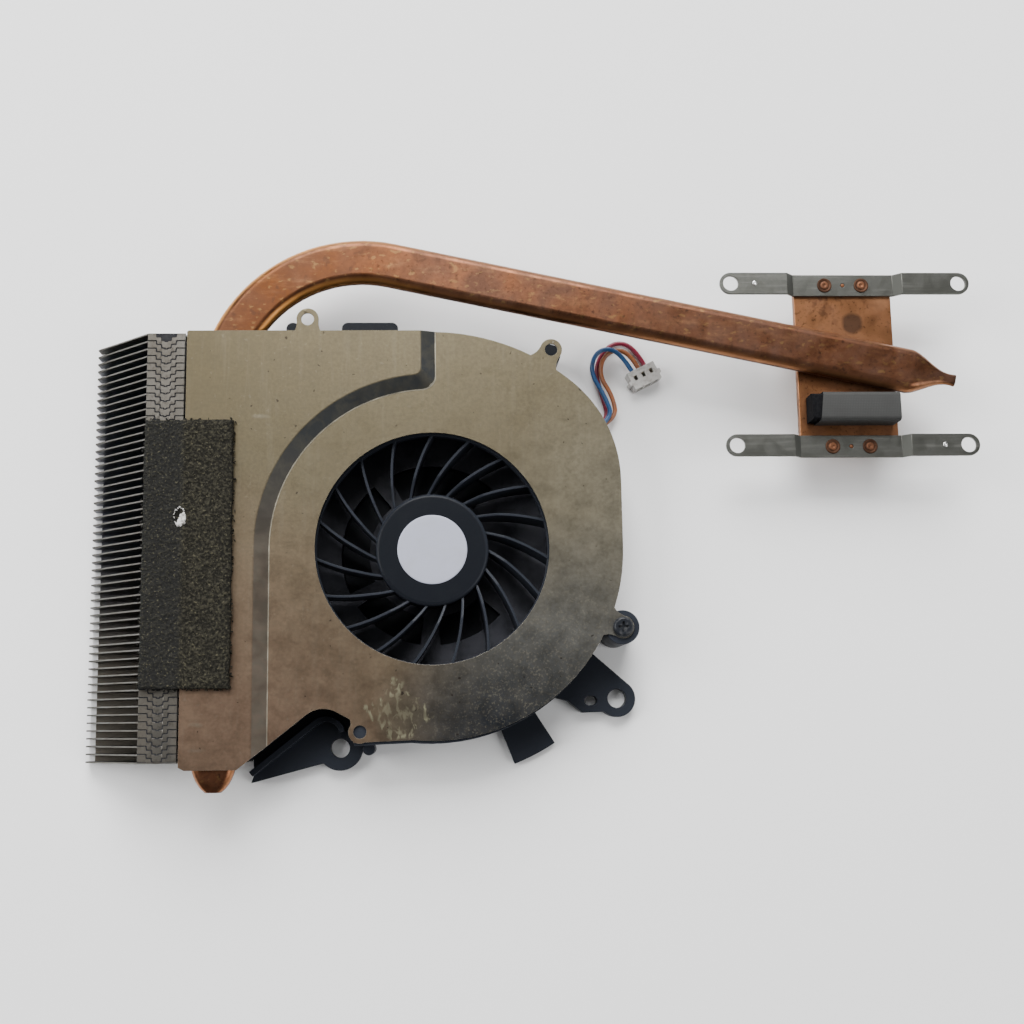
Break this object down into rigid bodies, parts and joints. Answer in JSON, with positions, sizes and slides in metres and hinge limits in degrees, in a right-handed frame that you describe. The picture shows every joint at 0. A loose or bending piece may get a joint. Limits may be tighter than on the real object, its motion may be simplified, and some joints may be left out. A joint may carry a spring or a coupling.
{
  "type": "laptop cooling fan heatsink",
  "caption": "Laptop cooler: blower fan with a steel cover, fin stack, bent flat heat pipe and cold plate on spring arms.",
  "frame": {"origin": "centre of the cold plate's contact face", "axes": "+X away from the fins along the plate's short side, +Y along the plate's long side, +Z away from the processor"},
  "size_m": [0.1907, 0.1169, 0.0158],
  "materials": {
    "copper": "bare copper, dulled",
    "arm_steel": "stamped spring steel",
    "copper_pipe": "bare copper pipe, tarnished brown",
    "gasket_foam": "conductive cloth over foam",
    "fin_aluminium": "bare aluminium sheet",
    "cover_steel": "plated steel sheet, tarnished",
    "housing_plastic": "moulded black plastic",
    "screw_steel": "plated screw steel",
    "impeller_plastic": "moulded black plastic",
    "motor_steel": "drawn and stacked electrical steel",
    "magnet_rubber": "bonded magnet",
    "shaft_steel": "ground steel",
    "label_paper": "bare white label",
    "bearing_brass": "sintered bronze",
    "thrust_plastic": "low-friction plastic",
    "coil_copper": "enamelled copper wire",
    "board_laminate": "circuit board laminate",
    "pad_foam": "open-cell foam",
    "red_sleeve": "wire sleeve",
    "brown_sleeve": "wire sleeve",
    "blue_sleeve": "wire sleeve",
    "plug_plastic": "moulded off-white plastic",
    "contact_brass": "plated contacts"
  },
  "bodies": {
    "cooler": {"cold_plate": "copper", "upper_arm": "arm_steel", "lower_arm": "arm_steel", "arm_rivets": "copper", "heat_pipe": "copper_pipe", "plate_gasket": "gasket_foam", "fin_stack": "fin_aluminium", "fan_cover": "cover_steel", "fan_housing": "housing_plastic", "housing_screw": "screw_steel", "motor_bearing": "bearing_brass", "thrust_plate": "thrust_plastic", "stator_core": "motor_steel", "stator_coils": "coil_copper", "motor_board": "board_laminate", "foam_pad": "pad_foam", "lead_red": "red_sleeve", "lead_brown": "brown_sleeve", "lead_blue": "blue_sleeve", "lead_plug": "plug_plastic", "plug_contacts": "contact_brass"},
    "rotor": {"impeller": "impeller_plastic", "rotor_yoke": "motor_steel", "rotor_magnet": "magnet_rubber", "motor_shaft": "shaft_steel", "hub_label": "label_paper"}
  },
  "joints": [
    {"name": "impeller_spin", "type": "hinge", "parent": "cooler", "child": "rotor", "pos_m": [-0.0902, -0.0398, 0], "axis": [0, 0, 1], "continuous": true}
  ]
}
